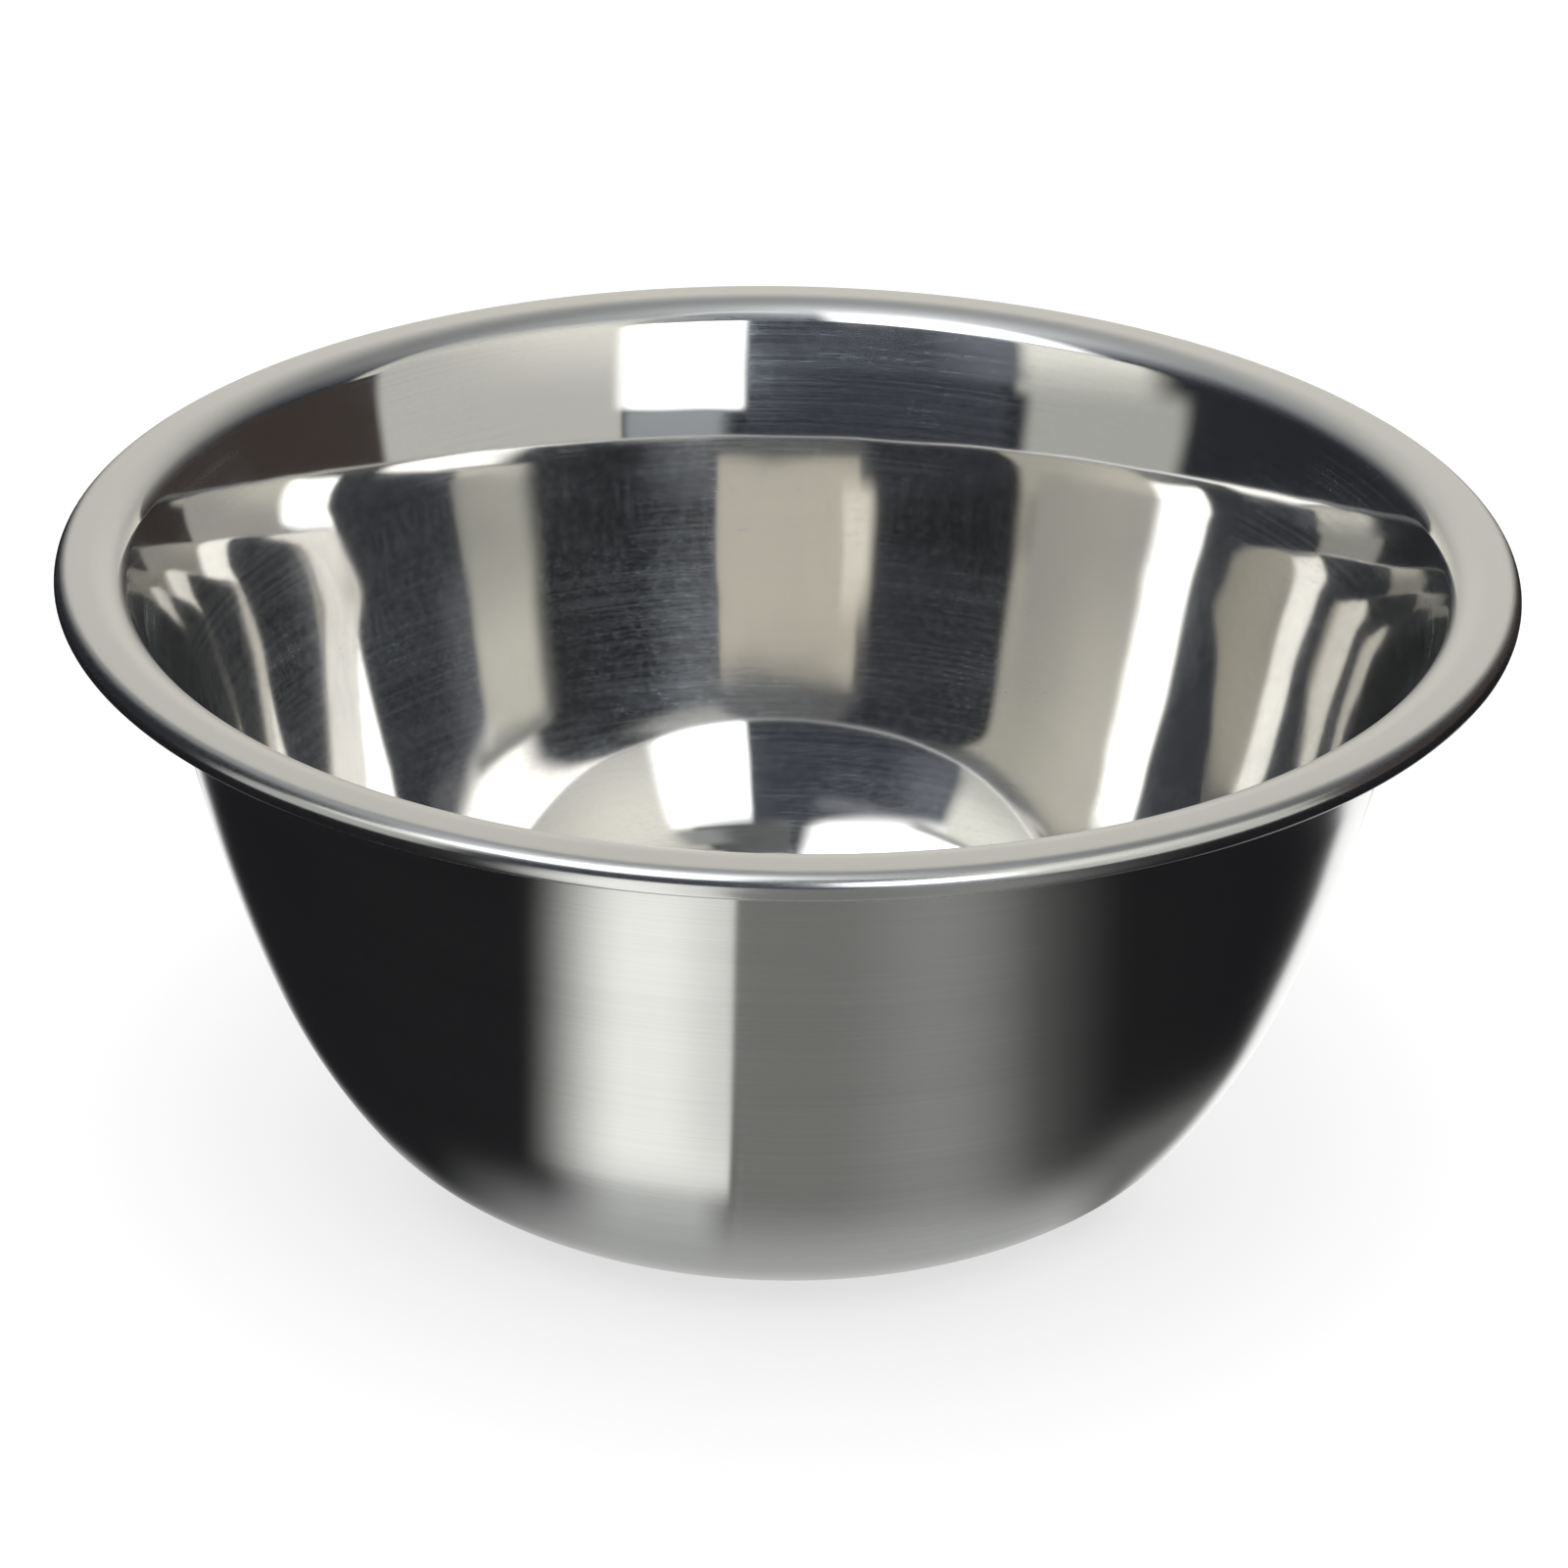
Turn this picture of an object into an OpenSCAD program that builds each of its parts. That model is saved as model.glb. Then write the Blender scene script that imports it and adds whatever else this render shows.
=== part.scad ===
// Stainless steel mixing bowl, drawn from one disc of sheet.
// Millimetres, +Z up. The origin is the centre of the base, on the plane that the bowl stands on.
// The bowl is one strip of sheet turned about the Z axis. Its polished face is drawn first, from
// the centre of the floor up the wall, over the shoulder and round the curled edge, and the
// other face lies one sheet thickness behind it. Every radius is taken on the polished face.

/* [Overall] */
// Diameter across the curled edge
rim_d = 200; // [160:1:260]
// Height from the standing ring to the top of the rim
bowl_h = 87.7; // [78:0.1:100]
// Thickness of the sheet
sheet_t = 0.6; // [0.4:0.05:0.9]

/* [Curled edge] */
// Outside diameter of the bead that the edge is rolled into
bead_d = 3.9; // [3:0.1:5]
// How far round the sheet is rolled, in degrees
bead_turn = 270; // [180:5:280]

/* [Rim] */
// Width of the flat part of the rim
flat_w = 2.8; // [1:0.1:6]
// Radius of the shoulder that turns the rim down into the bowl
shoulder_r = 5.6; // [4:0.1:9]

/* [Mouth] */
// Lean of the sheet from upright where the shoulder ends and the flared mouth begins, in degrees
mouth_lean = 27.4; // [22:0.1:33]
// Radius of the flare below the shoulder
mouth_r = 77; // [60:1:95]

/* [Wall] */
// Height of the straight wall under the mouth
wall_h = 11; // [4:0.5:18]
// Lean of the straight wall from upright, in degrees
wall_lean = 13.1; // [11:0.1:16]
// Radius of the side, which turns in slowly below the straight wall
side_r = 226; // [170:1:280]
// Lean of the side from upright where the belly begins, in degrees
side_lean = 20.1; // [17.5:0.1:23.5]

/* [Belly] */
// Radius of the belly, where the side turns in faster
belly_r = 85; // [68:1:105]
// Radius of the corner between the belly and the base
corner_r = 22.5; // [15:0.5:30]

/* [Base] */
// Width of the flat ring that the bowl stands on
ring_w = 7; // [4:0.5:10]
// Height that the middle of the base is pushed up
base_rise = 0.8; // [0.4:0.1:1.4]
// Radius of the two bends between the ring and the raised middle
rise_bend_r = 3; // [2:0.1:5]

/* [Hidden] */

// Smoothness of the curves: the angle of one step round the bead, along a tight bend and along
// a sweeping one, and the sides of a full turn
bead_step = 9;
bend_step = 3;
sweep_step = 1.5;
turn_sides = 180;

// Colour of the polished steel
steel = [0.74, 0.74, 0.73];

// Headings are in degrees above the outward direction, as the sheet runs from the floor to the edge
mouth_heading = 90 - mouth_lean;
wall_heading = 90 - wall_lean;
side_heading = 90 - side_lean;

// Bead: its centre circle
bead_r = bead_d / 2;
bead_centre = [rim_d / 2 - bead_r, bowl_h - bead_r];

// Shoulder: it ends where the flat of the rim begins, and hangs below it
shoulder_top = [bead_centre[0] - flat_w, bowl_h];
shoulder_foot = shoulder_top - right_turn(shoulder_r, mouth_heading, 0);

// Flared mouth, straight wall and side, from the shoulder down
wall_top = shoulder_foot - right_turn(mouth_r, wall_heading, mouth_heading);
wall_foot = wall_top - wall_h * [tan(wall_lean), 1];
side_foot = wall_foot - left_turn(side_r, side_heading, wall_heading);

// The belly and the corner share one tangent, at the heading that makes up the height left
floor_z = sheet_t;
belly_heading = acos((side_foot[1] - floor_z - corner_r + belly_r * cos(side_heading))
                     / (belly_r - corner_r));
belly_foot = side_foot - left_turn(belly_r, belly_heading, side_heading);
corner_foot = belly_foot - left_turn(corner_r, 0, belly_heading);

// Base: the standing ring, then a pair of bends up to the raised middle
rise_turn = acos(1 - base_rise / (2 * rise_bend_r));
ring_inner = corner_foot - [ring_w, 0];
rise_middle = ring_inner - left_turn(rise_bend_r, -rise_turn, 0);
rise_top = rise_middle - right_turn(rise_bend_r, 0, -rise_turn);

// Travel along a bend of radius r whose heading goes from h0 to h1, turning left
function left_turn(r, h0, h1) = r * [sin(h1) - sin(h0), cos(h0) - cos(h1)];

// The same for a bend that turns right
function right_turn(r, h0, h1) = r * [sin(h0) - sin(h1), cos(h1) - cos(h0)];

// Headings along a bend from h0 to h1, in equal steps of about the given angle
function headings(h0, h1, step) =
    let (n = max(2, ceil(abs(h1 - h0) / step)))
    [for (i = [0:n]) h0 + (h1 - h0) * i / n];

// Stations of a bend that starts at point p: each is a point and the heading of the sheet there
function left_bend(p, r, h0, h1, step) =
    [for (h = headings(h0, h1, step)) [p + left_turn(r, h0, h), h]];
function right_bend(p, r, h0, h1, step) =
    [for (h = headings(h0, h1, step)) [p + right_turn(r, h0, h), h]];

// Stations of the polished face, from the axis outwards. The straights join the bends.
stations = concat(
    [[[0, rise_top[1]], 0]],
    right_bend(rise_top, rise_bend_r, 0, -rise_turn, bend_step),
    left_bend(rise_middle, rise_bend_r, -rise_turn, 0, bend_step),
    left_bend(corner_foot, corner_r, 0, belly_heading, bend_step),
    left_bend(belly_foot, belly_r, belly_heading, side_heading, sweep_step),
    left_bend(side_foot, side_r, side_heading, wall_heading, sweep_step),
    right_bend(wall_top, mouth_r, wall_heading, mouth_heading, sweep_step),
    right_bend(shoulder_foot, shoulder_r, mouth_heading, 0, bend_step),
    right_bend([bead_centre[0], bowl_h], bead_r, 0, -bead_turn, bead_step)
);

// Point one sheet thickness behind a station
function behind(s) = s[0] + sheet_t * [sin(s[1]), -cos(s[1])];

// Stations where two bends meet come twice, so each is kept once
function once(list) =
    [for (i = [0:len(list) - 1]) if (i == 0 || norm(list[i][0] - list[i - 1][0]) > 0) list[i]];

// The whole bowl: floor, corner, belly, side, wall, flared mouth, shoulder, flat rim and curled edge
module bowl() {
    path = once(stations);
    last = len(path) - 1;
    face = [for (s = path) s[0]];
    back = [for (i = [last:-1:0]) behind(path[i])];
    color(steel)
        rotate_extrude($fn = turn_sides)
            polygon(concat(face, back));
}

bowl();
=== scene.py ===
from math import acos, cos, pi, radians, sin, tan

import bpy
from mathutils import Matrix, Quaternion, Vector


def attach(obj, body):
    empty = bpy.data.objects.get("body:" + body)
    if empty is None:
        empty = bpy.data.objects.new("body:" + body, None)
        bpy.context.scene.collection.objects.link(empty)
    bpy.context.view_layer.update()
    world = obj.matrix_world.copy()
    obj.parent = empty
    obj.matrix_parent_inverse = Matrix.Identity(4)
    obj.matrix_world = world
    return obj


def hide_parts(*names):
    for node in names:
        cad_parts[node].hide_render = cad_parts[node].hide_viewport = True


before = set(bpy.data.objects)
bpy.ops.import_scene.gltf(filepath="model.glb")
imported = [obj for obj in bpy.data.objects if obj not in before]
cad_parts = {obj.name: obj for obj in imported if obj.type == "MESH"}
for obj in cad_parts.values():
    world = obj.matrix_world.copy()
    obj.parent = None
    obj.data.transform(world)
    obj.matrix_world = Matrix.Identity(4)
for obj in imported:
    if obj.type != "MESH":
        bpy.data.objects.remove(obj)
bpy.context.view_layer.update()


# The place, the aim and the roll are a separate program's fit to the photograph's outlines
photoCamera = {
    "place": (0.0, -0.54986, 0.32751),
    "aim": (-0.00003, 0.0, 0.04947),
    "roll": 1.055,  # degrees, the bowl's right side sits a little lower in the frame
    "lens": 100.0,
    "sensor": 36.0,
}


def makeCamera(look):
    bpy.ops.object.camera_add(location=look["place"])
    camera = bpy.context.object
    camera.name = "photoCamera"
    camera.data.lens = look["lens"]
    camera.data.sensor_width = look["sensor"]
    camera.data.clip_end = 50
    aim = (Vector(look["aim"]) - Vector(look["place"])).to_track_quat("-Z", "Y")
    camera.rotation_mode = "QUATERNION"
    camera.rotation_quaternion = aim @ Quaternion((0, 0, 1), radians(look["roll"]))
    bpy.context.scene.camera = camera


makeCamera(photoCamera)
print("camera placed")


# A shader value that is added, multiplied and compared like a number
class Signal:
    def __init__(self, tree, socket):
        self.tree, self.socket = tree, socket

    def math(self, operation, *values):
        node = self.tree.nodes.new("ShaderNodeMath")
        node.operation = operation
        for slot, value in zip(node.inputs, values):
            if isinstance(value, Signal):
                self.tree.links.new(value.socket, slot)
            else:
                slot.default_value = value
        return Signal(self.tree, node.outputs[0])

    def __add__(self, other): return self.math("ADD", self, other)
    def __radd__(self, other): return self.math("ADD", other, self)
    def __sub__(self, other): return self.math("SUBTRACT", self, other)
    def __rsub__(self, other): return self.math("SUBTRACT", other, self)
    def __mul__(self, other): return self.math("MULTIPLY", self, other)
    def __rmul__(self, other): return self.math("MULTIPLY", other, self)
    def sqrt(self): return self.math("SQRT", self)
    def abs(self): return self.math("ABSOLUTE", self)
    def atLeast(self, other): return self.math("MAXIMUM", self, other)


class Paint:
    def __init__(self, owner):
        owner.use_nodes = True
        self.tree = owner.node_tree
        self.tree.nodes.clear()

    # one node of any other kind: its type, its settings, then its sockets by name or number
    def node(self, kind, settings=None, sockets=None):
        node = self.tree.nodes.new("ShaderNode" + kind)
        for name, value in (settings or {}).items():
            setattr(node, name, value)
        for name, value in (sockets or {}).items():
            slot = node.inputs[name]
            if isinstance(value, Signal):
                self.tree.links.new(value.socket, slot)
            else:
                slot.default_value = value
        return node

    def out(self, node, name=0):
        return Signal(self.tree, node.outputs[name])

    def place(self):
        return self.out(self.node("TexCoord"), "Object")

    def split(self, vector):
        node = self.node("SeparateXYZ", None, {0: vector})
        return [self.out(node, n) for n in range(3)]

    def join(self, x, y, z):
        return self.out(self.node("CombineXYZ", None, {0: x, 1: y, 2: z}))

    def noise(self, vector, scale=1.0, detail=2.0, rough=0.5):
        sockets = {"Vector": vector, "Scale": scale, "Detail": detail, "Roughness": rough}
        return self.out(self.node("TexNoise", None, sockets))

    # noise drawn out along the bowl's turning: how often it changes along and across, per metre
    def drawnNoise(self, x, y, across, look):
        vector = self.join(x * look["along"], y * look["along"], across * look["across"])
        return self.noise(vector, 1.0, look["detail"], look["rough"])

    # soft step from 0 at low to 1 at high
    def step(self, value, low, high, bottom=0.0, top=1.0):
        sockets = {0: value, 1: low, 2: high, 3: bottom, 4: top}
        return self.out(self.node("MapRange", {"interpolation_type": "SMOOTHSTEP"}, sockets))

    # 1 between two soft edges, 0 outside them
    def between(self, value, ends, soft):
        (low, high), (softLow, softHigh) = ends, soft
        rise = self.step(value, low - softLow, low + softLow)
        return rise * self.step(value, high - softHigh, high + softHigh, 1.0, 0.0)

    # azimuth in degrees, from the camera's side and turning right
    def azimuth(self, x, y):
        return x.math("ARCTAN2", x, 0 - y) * (180 / pi)

    # 1 for what the camera, the metal or glass sees, 0 for the light that falls on things
    def seen(self):
        path = self.node("LightPath")
        seen = self.out(path, "Is Camera Ray").atLeast(self.out(path, "Is Glossy Ray"))
        return seen.atLeast(self.out(path, "Is Transmission Ray"))

    def mix(self, share, first, second):
        rgba = lambda c: c if isinstance(c, Signal) else (*c, 1)
        sockets = {0: share, 6: rgba(first), 7: rgba(second)}
        return self.out(self.node("Mix", {"data_type": "RGBA"}, sockets), 2)

    def glow(self, color):
        return self.out(self.node("Emission", None, {"Color": color, "Strength": 1.0}))

    def surface(self, shader):
        self.node("OutputMaterial", None, {"Surface": shader})


def newMaterial(name):
    material = bpy.data.materials.new(name)
    return material, Paint(material)


def clearSelection():
    bpy.ops.object.select_all(action="DESELECT")


studio = {
    "floorSize": 12.0,
    "floorColor": (0.93, 0.93, 0.93),
    "floorLit": 0.6,  # share of plain white in the floor, the rest is lit and keeps the shadow
    "domeRadius": 2.6,
    "domeCentre": (1.43, -0.68, 1.53),
    "bowlHeart": (0.0, 0.0, 0.08),  # the point that the panels' directions are measured from
    "sheetRadius": 2.9,
    "sheetHeight": 0.0004,  # the sheets lie just over the floor
    "whiteColor": (1.25, 1.25, 1.25),  # the white floor behind the two lines
    "whiteEnds": (0.15, 0.19),    # radius over which it ends
    "whiteFrom": (50.0, 64.0),    # azimuth over which it begins, on either side
    "whiteTo": (125.0, 135.0),    # and over which it ends again
    "lamp": 3.3,
    "lampAngle": 110.0,
    "worldFill": 0.6,
}

# What stands round the bowl and shows in the metal, painted in this order. In degrees: azimuth from
# the camera's side, turning right, and elevation, each with how soft its two ends are. A back panel
# stands on both sides of the far end, and tilt lifts the lower edge with azimuth. Most places and
# softnesses and nearly half the tones are a separate program's fit to the photograph's reflections,
# rounded. The rest were set one by one
studioDark = (0.026, 0.028, 0.034)
studioPanels = [
    {"name": "leftDarkHigh", "az": (-154, -127), "azSoft": (4.5, 12.5),
     "el": (33, 80), "elSoft": (12, 8), "color": (0.23, 0.25, 0.285)},
    {"name": "leftPale", "az": (-157, -103), "azSoft": (3.5, 12.5),
     "el": (60, 83), "elSoft": (10, 4), "color": (0.77, 0.79, 0.82)},
    {"name": "rightDarkHigh", "az": (95, 152), "azSoft": (2, 3),
     "el": (30, 80), "elSoft": (1, 8), "color": (0.045, 0.048, 0.064)},
    {"name": "rightDark", "az": (83, 152), "azSoft": (1, 3),
     "el": (-20, 24), "elSoft": (1, 1.7), "color": (0.060, 0.048, 0.045)},
    {"name": "ceiling", "az": (-200, 200), "azSoft": (1, 1),
     "el": (78.7, 99), "elSoft": (7, 1), "color": (0.36, 0.37, 0.38)},
    {"name": "backHigh", "back": True, "az": (148, 200), "azSoft": (5.5, 1),
     "el": (40, 84), "elSoft": (3, 8.4), "color": (0.21, 0.22, 0.235)},
    {"name": "back", "back": True, "az": (151.6, 200), "azSoft": (0.9, 1),
     "el": (-20, 44.7), "elSoft": (1, 3), "color": (1.05, 1.015, 0.91)},
    {"name": "backWindow", "az": (147.6, 158.5), "azSoft": (3, 1.3),
     "el": (25, 36.3), "elSoft": (3, 4.5), "color": (1.60, 1.58, 1.45)},
    {"name": "rightHigh", "az": (31.5, 88.5), "azSoft": (5.8, 9),
     "el": (53, 72.5), "elSoft": (4, 6), "color": (0.30, 0.31, 0.33)},
    {"name": "rightLight", "az": (27, 89.7), "azSoft": (2.4, 2.4),
     "el": (25, 60), "elSoft": (2, 5.7), "color": (0.81, 0.81, 0.74)},
    {"name": "rightLow", "az": (33, 83.2), "azSoft": (0.5, 1.4),
     "el": (-20, 32), "elSoft": (1, 6.8), "color": (0.67, 0.67, 0.645)},
    {"name": "rightGlow", "az": (33, 61), "azSoft": (1.7, 18),
     "el": (26, 51), "elSoft": (10, 9), "color": (1.06, 1.05, 0.97)},
    {"name": "leftGrey", "az": (-82.5, -47.3), "azSoft": (2.8, 2),
     "el": (-20, 22.5), "elSoft": (1, 3), "color": (0.54, 0.55, 0.53)},
    {"name": "leftGreyHigh", "az": (-76, -44.8), "azSoft": (6, 1.3),
     "el": (21, 35.3), "elSoft": (2.7, 1.7), "color": (0.73, 0.74, 0.70)},
    {"name": "frontDark", "az": (-43, 8.5), "azSoft": (2, 0.5),
     "el": (-20, 42), "elSoft": (1, 1.9), "color": (0.050, 0.056, 0.070)},
    {"name": "frontBlue", "az": (-46.5, -33), "azSoft": (3.5, 8),
     "el": (23, 41), "elSoft": (2.2, 0.9), "color": (0.15, 0.16, 0.19)},
    {"name": "frontLine", "az": (-46, -9.3), "azSoft": (1, 3.4),
     "el": (36.2, 37.4), "elSoft": (3, 2.2), "color": (0.37, 0.38, 0.43)},
    {"name": "leftWhite", "az": (-63, -9), "azSoft": (9, 5),
     "el": (43.5, 86.6), "elSoft": (2.5, 3.7), "tilt": 0.19, "color": (2.9, 2.95, 3.0)},
    {"name": "leftGreyTop", "az": (-73.5, -46.5), "azSoft": (3.5, 2.5),
     "el": (27, 36), "elSoft": (4, 1), "color": (1.12, 1.13, 1.05)},
    {"name": "leftGap", "az": (-76, -37), "azSoft": (4, 4),
     "el": (35.2, 37.3), "elSoft": (0.8, 0.9), "color": (0.46, 0.47, 0.47)},
    {"name": "topWhite", "az": (-2.4, 34), "azSoft": (2.8, 7.5),
     "el": (61.8, 73.5), "elSoft": (1.8, 5), "color": (1.25, 1.25, 1.25)},
    {"name": "frontHigh", "az": (-3, 25.7), "azSoft": (1.3, 2.7),
     "el": (40.7, 66.4), "elSoft": (1.4, 0.9), "color": (0.125, 0.13, 0.13)},
    {"name": "frontPale", "az": (19.3, 33.7), "azSoft": (5.5, 5.3),
     "el": (43.4, 56), "elSoft": (2.2, 2.7), "color": (0.36, 0.38, 0.38)},
    {"name": "frontWhite", "az": (9.4, 32.5), "azSoft": (1.2, 3),
     "el": (13.2, 40), "elSoft": (1.2, 3), "color": (3.2, 3.3, 3.4)},
    {"name": "frontFoot", "az": (12.8, 32.2), "azSoft": (2.5, 1.2),
     "el": (-20, 12.2), "elSoft": (1, 0.5), "color": (0.39, 0.42, 0.45)},
]

# Sheets that lie on the floor and show only in the metal: azimuth in degrees, radius in metres from
# the bowl's axis. Six of the sheets began as such a fit, and about half of their values still are
floorSheetDark = (0.016, 0.016, 0.018)
floorSheets = [
    {"name": "frontGrey", "az": (-6, 36), "azSoft": (1, 18),
     "rad": (0.0, 3.0), "radSoft": 0.001, "color": (0.233, 0.235, 0.227)},
    {"name": "frontSilver", "az": (14, 30), "azSoft": (8, 9),
     "rad": (0.0, 3.0), "radSoft": 0.001, "color": (0.31, 0.315, 0.307)},
    # The next four sheets, round the bowl's foot, are a painted shadow of the bowl on the floor as
    # the outside reflects it; the last is its lighter edge
    {"name": "footShadowWide", "az": (-38, 75), "azSoft": (18, 10),
     "rad": (0.0, 0.070), "radSoft": 0.009, "color": (0.48, 0.49, 0.485)},
    {"name": "foot", "az": (-82, 75), "azSoft": (12, 8),
     "rad": (0.0, 0.058), "radSoft": 0.006, "color": (0.70, 0.705, 0.705)},
    {"name": "footShadowRight", "az": (48, 82), "azSoft": (8, 6),
     "rad": (0.0, 0.080), "radSoft": 0.007, "color": (0.17, 0.17, 0.165)},
    {"name": "footShadowEdge", "az": (-27, -8), "azSoft": (7, 4),
     "rad": (0.066, 0.082), "radSoft": 0.007, "color": (0.58, 0.595, 0.595)},
    {"name": "frontWhite", "az": (-29, -6.5), "azSoft": (8.5, 0.4),
     "rad": (0.080, 3.0), "radSoft": 0.004, "color": (1.25, 1.25, 1.22)},
    {"name": "frontWhiteSide", "az": (-12, -6.5), "azSoft": (5, 0.4),
     "rad": (0.086, 3.0), "radSoft": 0.008, "color": (0.95, 0.96, 0.93)},
    {"name": "backDark", "az": (126, 152), "azSoft": (6, 6),
     "rad": (0.0, 3.0), "radSoft": 0.001, "color": (0.03, 0.03, 0.03)},
    {"name": "backGrey", "az": (150, 176), "azSoft": (6, 2),
     "rad": (0.0, 3.0), "radSoft": 0.001, "color": (0.28, 0.28, 0.28)},
]
# Behind these two lines on the floor (a point and the heading of the line) it is white
floorEdges = [
    {"name": "right", "point": (0.0555, -0.0285), "along": (0.752, 0.659), "soft": 0.004},
    {"name": "left", "point": (-0.072, 0.002), "along": (-0.57, 0.82), "soft": 0.007},
]


def makeFloor(look):
    clearSelection()
    bpy.ops.mesh.primitive_plane_add(size=look["floorSize"])
    floor = bpy.context.object
    floor.name = "floor"
    material, paint = newMaterial("paleFloor")
    lit = paint.out(paint.node("BsdfDiffuse", None, {"Color": (*look["floorColor"], 1)}))
    shares = {0: paint.seen() * look["floorLit"], 1: lit, 2: paint.glow((1, 1, 1, 1))}
    paint.surface(paint.out(paint.node("MixShader", None, shares)))
    floor.data.materials.append(material)


def panelMask(paint, azimuth, elevation, panel):
    side = azimuth.abs() if "back" in panel else azimuth
    foot = elevation - azimuth * panel["tilt"] if "tilt" in panel else elevation
    (low, high), (softLow, softHigh) = panel["el"], panel["elSoft"]
    across = paint.between(side, panel["az"], panel["azSoft"])
    across = across * paint.step(foot, low - softLow, low + softLow)
    return across * paint.step(elevation, high - softHigh, high + softHigh, 1.0, 0.0)


def makeDome(look):
    clearSelection()
    bpy.ops.mesh.primitive_uv_sphere_add(
        segments=64, ring_count=32, radius=look["domeRadius"], location=look["domeCentre"])
    dome = bpy.context.object
    dome.name = "studioPanels"
    material, paint = newMaterial("studioPanels")
    fromHeart = Vector(look["domeCentre"]) - Vector(look["bowlHeart"])
    x, y, z = [part + way for part, way in zip(paint.split(paint.place()), fromHeart)]
    azimuth = paint.azimuth(x, y)
    elevation = z.math("ARCTAN2", z, (x * x + y * y).sqrt()) * (180 / pi)
    color = studioDark
    for panel in studioPanels:
        color = paint.mix(panelMask(paint, azimuth, elevation, panel), color, panel["color"])
    paint.surface(paint.glow(color))
    dome.data.materials.append(material)
    hideFromCamera(dome, material)


def hideFromCamera(piece, material):
    material.cycles.emission_sampling = "NONE"
    piece.visible_camera = False
    piece.visible_diffuse = False
    piece.visible_shadow = False


def makeFloorSheets(look):
    clearSelection()
    bpy.ops.mesh.primitive_circle_add(
        vertices=96, radius=look["sheetRadius"], fill_type="NGON",
        location=(0, 0, look["sheetHeight"]))
    sheets = bpy.context.object
    sheets.name = "floorSheets"
    material, paint = newMaterial("floorSheets")
    x, y, z = paint.split(paint.place())
    azimuth = paint.azimuth(x, y)
    radius = (x * x + y * y).sqrt()
    color = floorSheetDark
    for sheet in floorSheets:
        soft = sheet["radSoft"]
        mask = paint.between(azimuth, sheet["az"], sheet["azSoft"])
        mask = mask * paint.between(radius, sheet["rad"], (soft, soft))
        color = paint.mix(mask, color, sheet["color"])
    near = paint.step(radius, *look["whiteEnds"], 1.0, 0.0)
    for edge in floorEdges:
        (px, py), (ax, ay), soft = edge["point"], edge["along"], edge["soft"]
        turn = 1 if ax > 0 else -1
        behind = ((y - py) * ax - (x - px) * ay) * turn
        sameSide = paint.step(azimuth * turn, *look["whiteFrom"])
        sameSide = sameSide * paint.step(azimuth.abs(), *look["whiteTo"], 1.0, 0.0)
        mask = paint.step(behind, -soft, soft) * sameSide * near
        color = paint.mix(mask, color, look["whiteColor"])
    paint.surface(paint.glow(color))
    sheets.data.materials.append(material)
    hideFromCamera(sheets, material)


def makeLight(look):
    bpy.ops.object.light_add(type="SUN", location=(0, 0, 2))
    lamp = bpy.context.object
    lamp.name = "softLamp"
    lamp.data.energy = look["lamp"]
    lamp.data.angle = radians(look["lampAngle"])
    lamp.visible_glossy = False  # the metal shows the panels, the lamp lights the floor
    world = bpy.data.worlds.new("studioWorld")
    bpy.context.scene.world = world
    paint = Paint(world)
    tone = paint.mix(paint.seen(), (look["worldFill"],) * 3, (1, 1, 1))
    background = paint.out(paint.node("Background", None, {"Color": tone, "Strength": 1.0}))
    paint.node("OutputWorld", None, {"Surface": background})


makeFloor(studio)
makeDome(studio)
makeFloorSheets(studio)
makeLight(studio)
bpy.context.scene.view_settings.view_transform = "Standard"
print("stage built")


# Metres and degrees. The radii are taken on the polished face, the leans from upright
bowlForm = {
    "rimAcross": 0.200,
    "height": 0.0877,
    "sheet": 0.0006,
    "bead": 0.0039,
    "beadTurn": 270.0,
    "flat": 0.0028,
    "shoulder": 0.0056,
    "mouthLean": 27.4,
    "mouthRadius": 0.077,
    "wallHeight": 0.011,
    "wallLean": 13.1,
    "side": 0.226,
    "sideLean": 20.1,
    "belly": 0.085,
    "corner": 0.0225,
    "ring": 0.007,
    "baseRise": 0.0008,
    "riseBend": 0.003,
    "turns": 256,  # steps in a full turn
}


# Travel along a bend whose heading goes from one angle to another, turning left
def leftTurn(radius, fromHeading, toHeading):
    start, end = radians(fromHeading), radians(toHeading)
    return Vector((radius * (sin(end) - sin(start)), 0, radius * (cos(start) - cos(end))))


def rightTurn(radius, fromHeading, toHeading):
    return -leftTurn(radius, fromHeading, toHeading)


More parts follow.
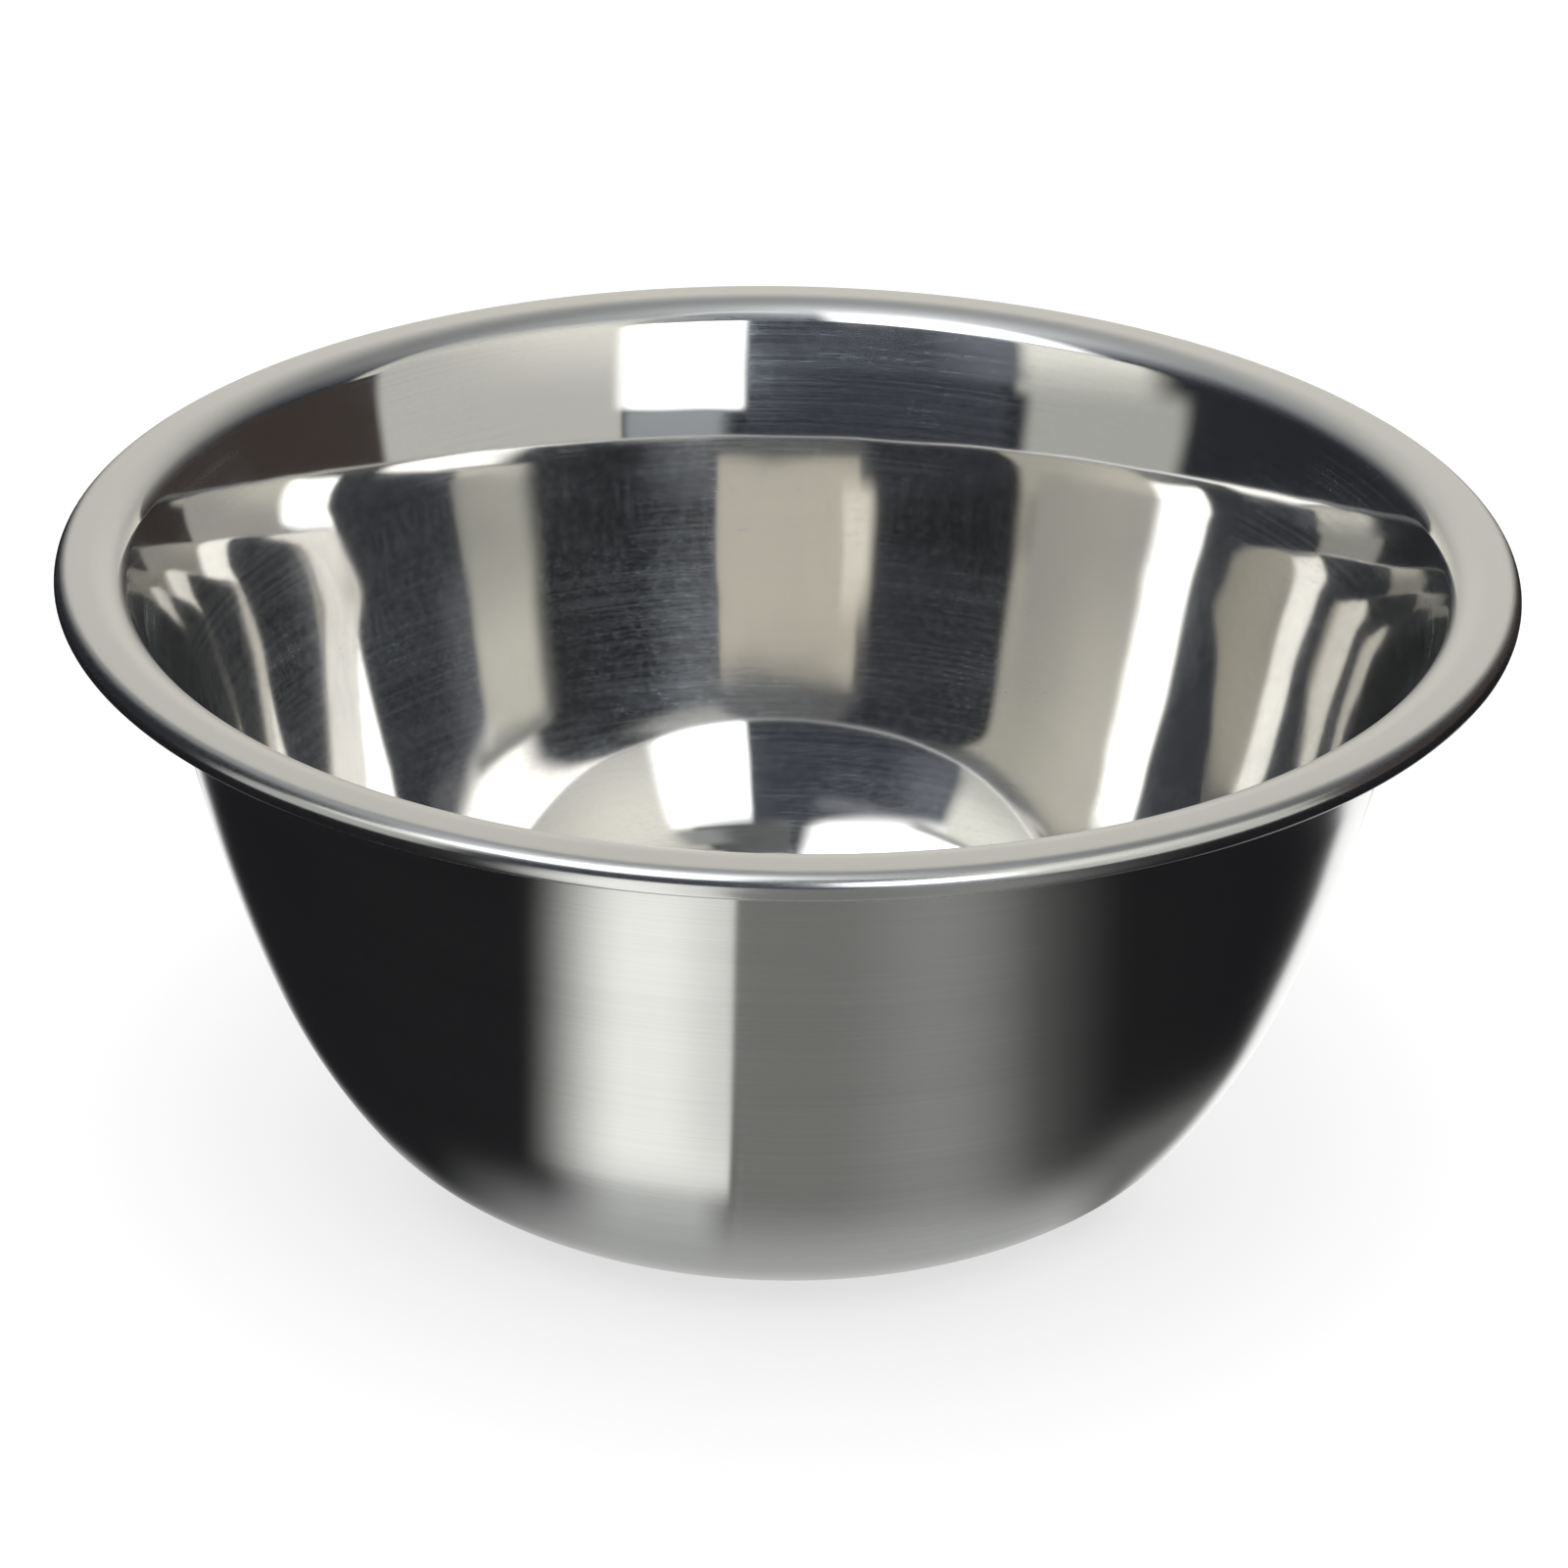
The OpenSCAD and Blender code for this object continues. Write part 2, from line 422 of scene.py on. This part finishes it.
# Points of the polished face, from the axis over the rim into the curled edge
def sheetPath(form):
    mouth, wall, side = 90 - form["mouthLean"], 90 - form["wallLean"], 90 - form["sideLean"]
    bead = form["bead"] / 2
    beadTop = Vector((form["rimAcross"] / 2 - bead, 0, form["height"]))
    shoulderTop = beadTop - Vector((form["flat"], 0, 0))
    shoulderFoot = shoulderTop - rightTurn(form["shoulder"], mouth, 0)
    wallTop = shoulderFoot - rightTurn(form["mouthRadius"], wall, mouth)
    wallFoot = wallTop - form["wallHeight"] * Vector((tan(radians(form["wallLean"])), 0, 1))
    sideFoot = wallFoot - leftTurn(form["side"], side, wall)
    floor, corner, belly = form["sheet"], form["corner"], form["belly"]
    heightLeft = sideFoot.z - floor - corner + belly * cos(radians(side))
    turn = acos(heightLeft / (belly - corner)) * 180 / pi
    bellyFoot = sideFoot - leftTurn(belly, turn, side)
    cornerFoot = bellyFoot - leftTurn(corner, 0, turn)
    rise = acos(1 - form["baseRise"] / (2 * form["riseBend"])) * 180 / pi
    riseMiddle = cornerFoot - Vector((form["ring"], 0, 0)) - leftTurn(form["riseBend"], -rise, 0)
    riseTop = riseMiddle - rightTurn(form["riseBend"], 0, -rise)
    points = []

    def straight(start, end, count):
        points.extend(start + (end - start) * n / count for n in range(count))

    def bend(start, travel, radius, h0, h1, count):
        points.extend(start + travel(radius, h0, h0 + (h1 - h0) * n / count) for n in range(count))

    straight(Vector((0, 0, riseTop.z)), riseTop, 10)
    bend(riseTop, rightTurn, form["riseBend"], 0, -rise, 6)
    bend(riseMiddle, leftTurn, form["riseBend"], -rise, 0, 6)
    straight(cornerFoot - Vector((form["ring"], 0, 0)), cornerFoot, 4)
    bend(cornerFoot, leftTurn, corner, 0, turn, 30)
    bend(bellyFoot, leftTurn, belly, turn, side, 18)
    bend(sideFoot, leftTurn, form["side"], side, wall, 14)
    straight(wallFoot, wallTop, 6)
    bend(wallTop, rightTurn, form["mouthRadius"], wall, mouth, 20)
    bend(shoulderFoot, rightTurn, form["shoulder"], mouth, 0, 26)
    straight(shoulderTop, beadTop, 4)
    bend(beadTop, rightTurn, bead, 0, -form["beadTurn"], 30)
    points.append(beadTop + rightTurn(bead, 0, -form["beadTurn"]))
    return points


def makeBowl(form):
    path = sheetPath(form)
    clearSelection()
    bpy.ops.mesh.primitive_plane_add(size=0.01)
    bowl = bpy.context.object
    bowl.name = "steelBowl"
    bpy.ops.object.mode_set(mode="EDIT")
    bpy.ops.mesh.select_all(action="SELECT")
    bpy.ops.mesh.merge(type="CENTER")
    bpy.ops.transform.translate(value=path[0])
    for here, there in zip(path, path[1:]):
        bpy.ops.mesh.extrude_vertices_move(TRANSFORM_OT_translate={"value": there - here})
    bpy.ops.mesh.select_all(action="SELECT")
    bpy.ops.mesh.spin(steps=form["turns"], angle=2 * pi, center=(0, 0, 0), axis=(0, 0, 1))
    bpy.ops.mesh.select_all(action="SELECT")
    bpy.ops.mesh.remove_doubles(threshold=0.00001)
    bpy.ops.mesh.normals_make_consistent(inside=False)
    bpy.ops.object.mode_set(mode="OBJECT")
    middle = min(bowl.data.polygons, key=lambda face: face.center.xy.length)
    if middle.normal.z < 0:
        bowl.data.flip_normals()
    return bowl


def thicken(bowl, form):
    wall = bowl.modifiers.new("sheet", "SOLIDIFY")
    wall.thickness = form["sheet"]
    wall.offset = -1
    wall.use_even_offset = True
    wall.use_quality_normals = True
    wall.material_offset = 1
    wall.material_offset_rim = 1
    bpy.ops.object.modifier_apply(modifier=wall.name)
    bpy.ops.object.shade_smooth_by_angle(angle=radians(50))


bowl = makeBowl(bowlForm)
print("bowl turned", len(bowl.data.polygons), "faces")


insideSteel = {
    "color": (0.67, 0.655, 0.625),
    "polish": 0.05,       # roughness of the polished wall
    "waves": 0.00005,     # depth of the slight waves in the polish, in metres
    "waveScale": 60.0,
    "hazeColor": (0.60, 0.64, 0.70),
    "haze": 0.36,         # roughness of the haze that lies over the polish
    "veil": 0.018,        # share of the haze everywhere
    "fog": 0.065,         # and in the fine fog
    "streaks": 0.22,      # and in the buffing streaks
    "scratches": 0.14,    # and in the fine scratches
    "rimColor": (0.67, 0.67, 0.665),
    "satin": 0.47,        # roughness of the flat rim
    "grain": 0.12,        # how much it varies from spot to spot
    "grainScale": 3400.0,
    "satinFrom": (0.0902, 0.0918),  # radius where the polish turns to satin
    "bead": 0.20,         # roughness of the bead
    "beadFrom": (0.0988, 0.0997),   # radius where the satin turns to it
}
# Marks in the polish: how often they change, per metre, and the noise from which they begin to show
# and are full
insideMarks = {
    "fine": {"along": 14.0, "across": 1300.0, "detail": 2.0, "rough": 0.6, "shows": (0.40, 0.75)},
    "broad": {"along": 18.0, "across": 110.0, "detail": 3.0, "rough": 0.6, "shows": (0.45, 0.75)},
    "upright": {"along": 700.0, "across": 14.0, "detail": 2.0, "rough": 0.6, "shows": (0.45, 0.75)},
    "patches": {"scale": 24.0, "detail": 3.0, "rough": 0.6, "shows": (0.36, 0.66)},
    "fog": {"scale": 700.0, "detail": 4.0, "rough": 0.7, "shows": (0.40, 0.66)},
    "mouthFrom": (0.062, 0.068),     # height where the mouth's stronger streaks begin
    "uprightFrom": (0.040, 0.052),   # heights where the upright marks begin and end
    "uprightTo": (0.064, 0.067),
    "lowStreaks": 0.8,               # strength of the streaks below the mouth, which adds 1 to it
    "uprightShare": 0.5,             # strength of the upright marks
    "leastFog": 0.35,                # share of the fog that stays between the patches
    "leastScratches": 0.4,           # and of the scratches
}
# Fine scratches that cross: the turn of each set in degrees, and the noise from which they show
scratchSets = [
    ((20, 35, 15), 0.67),
    ((-50, 10, 80), 0.68),
    ((70, -25, 40), 0.67),
    ((5, 60, -35), 0.68),
]
scratchScale = (28, 2600, 2600)
scratchSoft = 0.07

outsideSteel = {
    "color": (0.65, 0.65, 0.635),
    "roughness": 0.16,
    "roughLines": 0.03,   # how much the roughness varies with the lines
    "brushing": 0.9,
    "across": 0.25,       # turns from the lines' own direction: the steel scatters across them
    "tone": 0.14,         # how much the brush lines show in the tone
    "cloudTone": 0.21,    # and the broad clouds
    "ripple": 0.000006,   # depth of the lines, in metres
}
outsideMarks = {
    "lines": {"along": 9.0, "across": 2000.0, "detail": 3.0, "rough": 0.65},
    "clouds": {"along": 12.0, "across": 60.0, "detail": 2.0, "rough": 0.5},
    "ragged": {"along": 110.0, "across": 1500.0, "detail": 2.0, "rough": 0.5},
}


def scratches(paint, place):
    marks = None
    for turn, edge in scratchSets:
        turned = paint.out(paint.node("Mapping", None, {
            "Vector": place, "Rotation": [radians(part) for part in turn], "Scale": scratchScale}))
        mark = paint.step(paint.noise(turned, 1.0, 1.0, 0.5), edge, edge + scratchSoft)
        marks = mark if marks is None else marks.atLeast(mark)
    return marks


# Share of the haze over the polish
def hazeShare(paint, place, x, y, z, across, look, marks):
    def even(name):
        mark = marks[name]
        spots = paint.noise(place, mark["scale"], mark["detail"], mark["rough"])
        return paint.step(spots, *mark["shows"])

    fine, broad = marks["fine"], marks["broad"]
    patch = even("patches")
    streaks = paint.step(paint.drawnNoise(x, y, across, fine), *fine["shows"])
    streaks = (streaks + paint.step(paint.drawnNoise(x, y, across, broad), *broad["shows"])) * patch
    streaks = streaks * (marks["lowStreaks"] + paint.step(z, *marks["mouthFrom"]))
    upright = paint.step(paint.drawnNoise(x, y, z, marks["upright"]), *marks["upright"]["shows"])
    upper = paint.step(z, *marks["uprightFrom"]) * paint.step(z, *marks["uprightTo"], 1.0, 0.0)
    streaks = streaks + upright * upper * marks["uprightShare"]
    fog = even("fog") * (marks["leastFog"] + patch * (1 - marks["leastFog"]))
    share = look["veil"] + fog * look["fog"] + streaks * (look["streaks"] / 2)
    least = marks["leastScratches"]
    return share + scratches(paint, place) * (least + patch * (1 - least)) * look["scratches"]


def bumped(paint, depth, height):
    sockets = {"Strength": 1.0, "Distance": depth, "Height": height}
    return paint.out(paint.node("Bump", None, sockets))


def polishedSteel(look, marks):
    material, paint = newMaterial("steelInside")
    place = paint.place()
    x, y, z = paint.split(place)
    radius = (x * x + y * y).sqrt()
    hazy = hazeShare(paint, place, x, y, z, radius + z, look, marks)
    rim = paint.step(radius, *look["satinFrom"])
    edge = paint.step(radius, *look["beadFrom"])
    grain = (paint.noise(place, look["grainScale"], 2.0, 0.6) - 0.5) * look["grain"]
    satin = look["satin"] + grain + edge * (look["bead"] - look["satin"])
    wave = paint.noise(place, look["waveScale"], 1.0, 0.5)
    mirror = paint.node("BsdfPrincipled", None, {
        "Base Color": (*look["color"], 1), "Metallic": 1.0, "Roughness": look["polish"],
        "Normal": bumped(paint, look["waves"], wave)})
    dull = paint.node("BsdfPrincipled", None, {
        "Base Color": paint.mix(rim, look["hazeColor"], look["rimColor"]), "Metallic": 1.0,
        "Roughness": look["haze"] + rim * (satin - look["haze"])})
    share = hazy + rim * (1.0 - hazy)
    finishes = {0: share, 1: paint.out(mirror), 2: paint.out(dull)}
    paint.surface(paint.out(paint.node("MixShader", None, finishes)))
    return material


def brushedSteel(look, marks):
    material, paint = newMaterial("steelOutside")
    x, y, z = paint.split(paint.place())
    across = (x * x + y * y).sqrt() + z
    lines = paint.drawnNoise(x, y, across, marks["lines"])
    cloud = paint.drawnNoise(x, y, across, marks["clouds"])
    ragged = paint.drawnNoise(x, y, across, marks["ragged"])
    tone = 1.0 + (lines - 0.5) * look["tone"] + (cloud - 0.5) * look["cloudTone"]
    color = paint.node("VectorMath", {"operation": "SCALE"}, {0: look["color"], "Scale": tone})
    steel = paint.node("BsdfPrincipled", None, {
        "Base Color": paint.out(color), "Metallic": 1.0,
        "Roughness": look["roughness"] + (lines - 0.5) * look["roughLines"],
        "Anisotropic": look["brushing"], "Anisotropic Rotation": look["across"],
        "Normal": bumped(paint, look["ripple"], ragged)})
    paint.surface(paint.out(steel))
    return material


bowl.data.materials.append(polishedSteel(insideSteel, insideMarks))
bowl.data.materials.append(brushedSteel(outsideSteel, outsideMarks))
thicken(bowl, bowlForm)
print("bowl finished", len(bowl.data.polygons), "faces")

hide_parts("bowl")
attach(bowl, "root")
